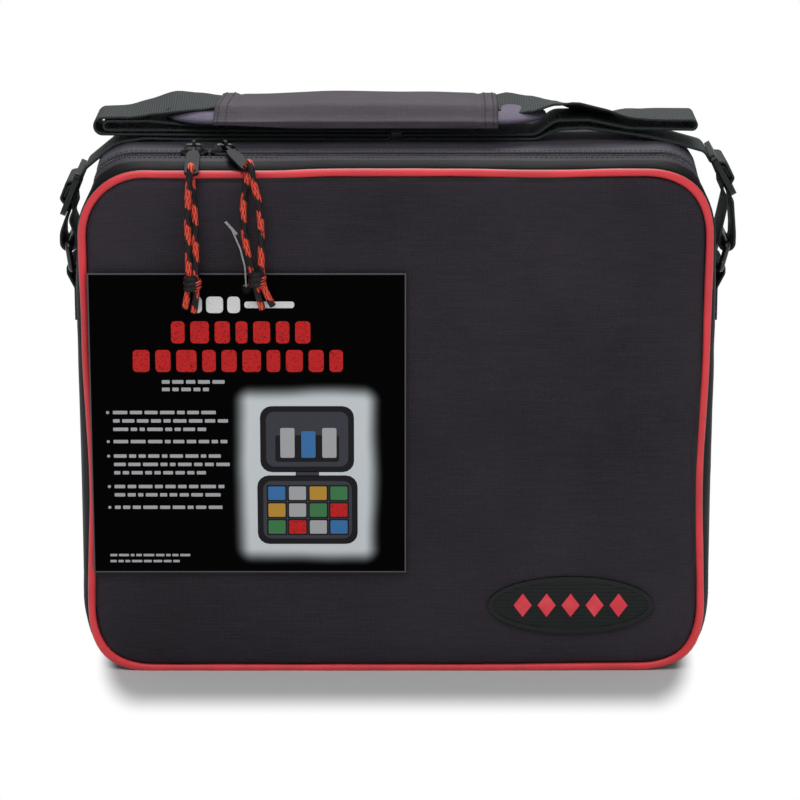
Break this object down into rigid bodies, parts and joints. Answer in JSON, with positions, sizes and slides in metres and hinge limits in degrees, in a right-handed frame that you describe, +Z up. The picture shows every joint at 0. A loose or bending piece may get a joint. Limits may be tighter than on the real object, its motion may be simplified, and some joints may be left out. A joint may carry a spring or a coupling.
{
  "type": "zippered game case",
  "caption": "Upright padded fabric case with a zip lid, red piping, corded pulls, a hang tag, an oval badge, a card compartment insert and a folded shoulder strap.",
  "frame": {"origin": "middle of the case's footprint on the floor, halfway between the front and rear seams", "axes": "+X to the right as seen from the front, -Y out of the front panel, +Z up"},
  "size_m": [0.4097, 0.1433, 0.3393],
  "materials": {
    "black_fabric": "padded charcoal nylon with a fine weave",
    "lining_fabric": "black lining cloth",
    "foam": "sheet foam",
    "red_piping": "red vinyl-coated piping",
    "black_piping": "black piping",
    "zip_tape": "woven black tape",
    "zip_coil": "black nylon coil",
    "black_metal": "black lacquered die casting and wire",
    "cord": "braided cord, red with black flecks",
    "card": "black printed card with a grey edge",
    "clear_nylon": "clear nylon thread",
    "badge_rubber": "moulded black rubber",
    "red_rubber": "moulded red rubber",
    "webbing": "ribbed black webbing",
    "black_plastic": "moulded black plastic"
  },
  "bodies": {
    "base": {"base_gusset": "black_fabric", "base_lining": "lining_fabric", "base_zip_coil": "zip_coil", "base_zip_tape": "zip_tape", "hinge_strip": "zip_tape", "insert_cross_divider_left": "lining_fabric", "insert_cross_divider_right": "lining_fabric", "insert_floor": "lining_fabric", "insert_long_divider": "lining_fabric", "insert_surround": "lining_fabric", "rear_foam": "foam", "rear_panel": "black_fabric", "rear_piping": "black_piping", "strap_anchor_left": "webbing", "strap_anchor_right": "webbing", "strap_buckle_left": "black_plastic", "strap_buckle_right": "black_plastic", "strap_pad": "black_fabric", "strap_sleeve": "black_fabric", "strap_webbing": "webbing"},
    "lid": {"lid_gusset": "black_fabric", "lid_lining": "lining_fabric", "front_panel": "black_fabric", "front_foam": "foam", "front_piping": "red_piping", "lid_zip_tape": "zip_tape", "lid_zip_coil": "zip_coil", "lid_pocket": "lining_fabric", "card_pocket_1": "lining_fabric", "card_pocket_2": "lining_fabric", "card_pocket_3": "lining_fabric", "card_pocket_4": "lining_fabric", "badge": "badge_rubber", "badge_inlay": "red_rubber"},
    "slider_left": {"slider_left": "black_metal"},
    "slider_right": {"slider_right": "black_metal"},
    "pull_left": {"pull_tab_left": "black_metal", "left_cord_front": "cord", "left_cord_rear": "cord", "pull_knot_left": "cord"},
    "pull_right": {"pull_tab_right": "black_metal", "right_cord_front": "cord", "right_cord_rear": "cord", "pull_knot_right": "cord", "tag_fastener": "clear_nylon"},
    "tag": {"hang_tag": "card"},
    "ring_left": {"strap_ring_left": "black_metal"},
    "ring_right": {"strap_ring_right": "black_metal"}
  },
  "joints": [
    {"name": "lid_hinge", "type": "hinge", "parent": "base", "child": "lid", "pos_m": [0, -0.036, 0.0027], "axis": [1, 0, 0], "range_deg": [0, 120], "deforming": ["hinge_strip"]},
    {"name": "slider_left_travel", "type": "slide", "parent": "lid", "child": "slider_left", "axis": [1, 0, 0], "range_m": [-0.017, 0]},
    {"name": "slider_right_travel", "type": "slide", "parent": "lid", "child": "slider_right", "axis": [1, 0, 0], "range_m": [0, 0.238]},
    {"name": "pull_left_flip", "type": "hinge", "parent": "slider_left", "child": "pull_left", "pos_m": [-0.1195, -0.036, 0.3204], "axis": [-1, 0, 0], "range_deg": [0, 90]},
    {"name": "pull_right_flip", "type": "hinge", "parent": "slider_right", "child": "pull_right", "pos_m": [-0.1015, -0.036, 0.3204], "axis": [-1, 0, 0], "range_deg": [0, 90]},
    {"name": "tag_swing", "type": "hinge", "parent": "pull_right", "child": "tag", "pos_m": [-0.088, -0.0674, 0.2428], "axis": [0, 1, 0], "range_deg": [-15, 15]},
    {"name": "ring_left_rock", "type": "hinge", "parent": "base", "child": "ring_left", "pos_m": [-0.1963, 0.014, 0.238], "axis": [0, 1, 0], "range_deg": [-4, 4]},
    {"name": "ring_right_rock", "type": "hinge", "parent": "base", "child": "ring_right", "pos_m": [0.1963, 0.014, 0.238], "axis": [0, 1, 0], "range_deg": [-4, 4]}
  ]
}
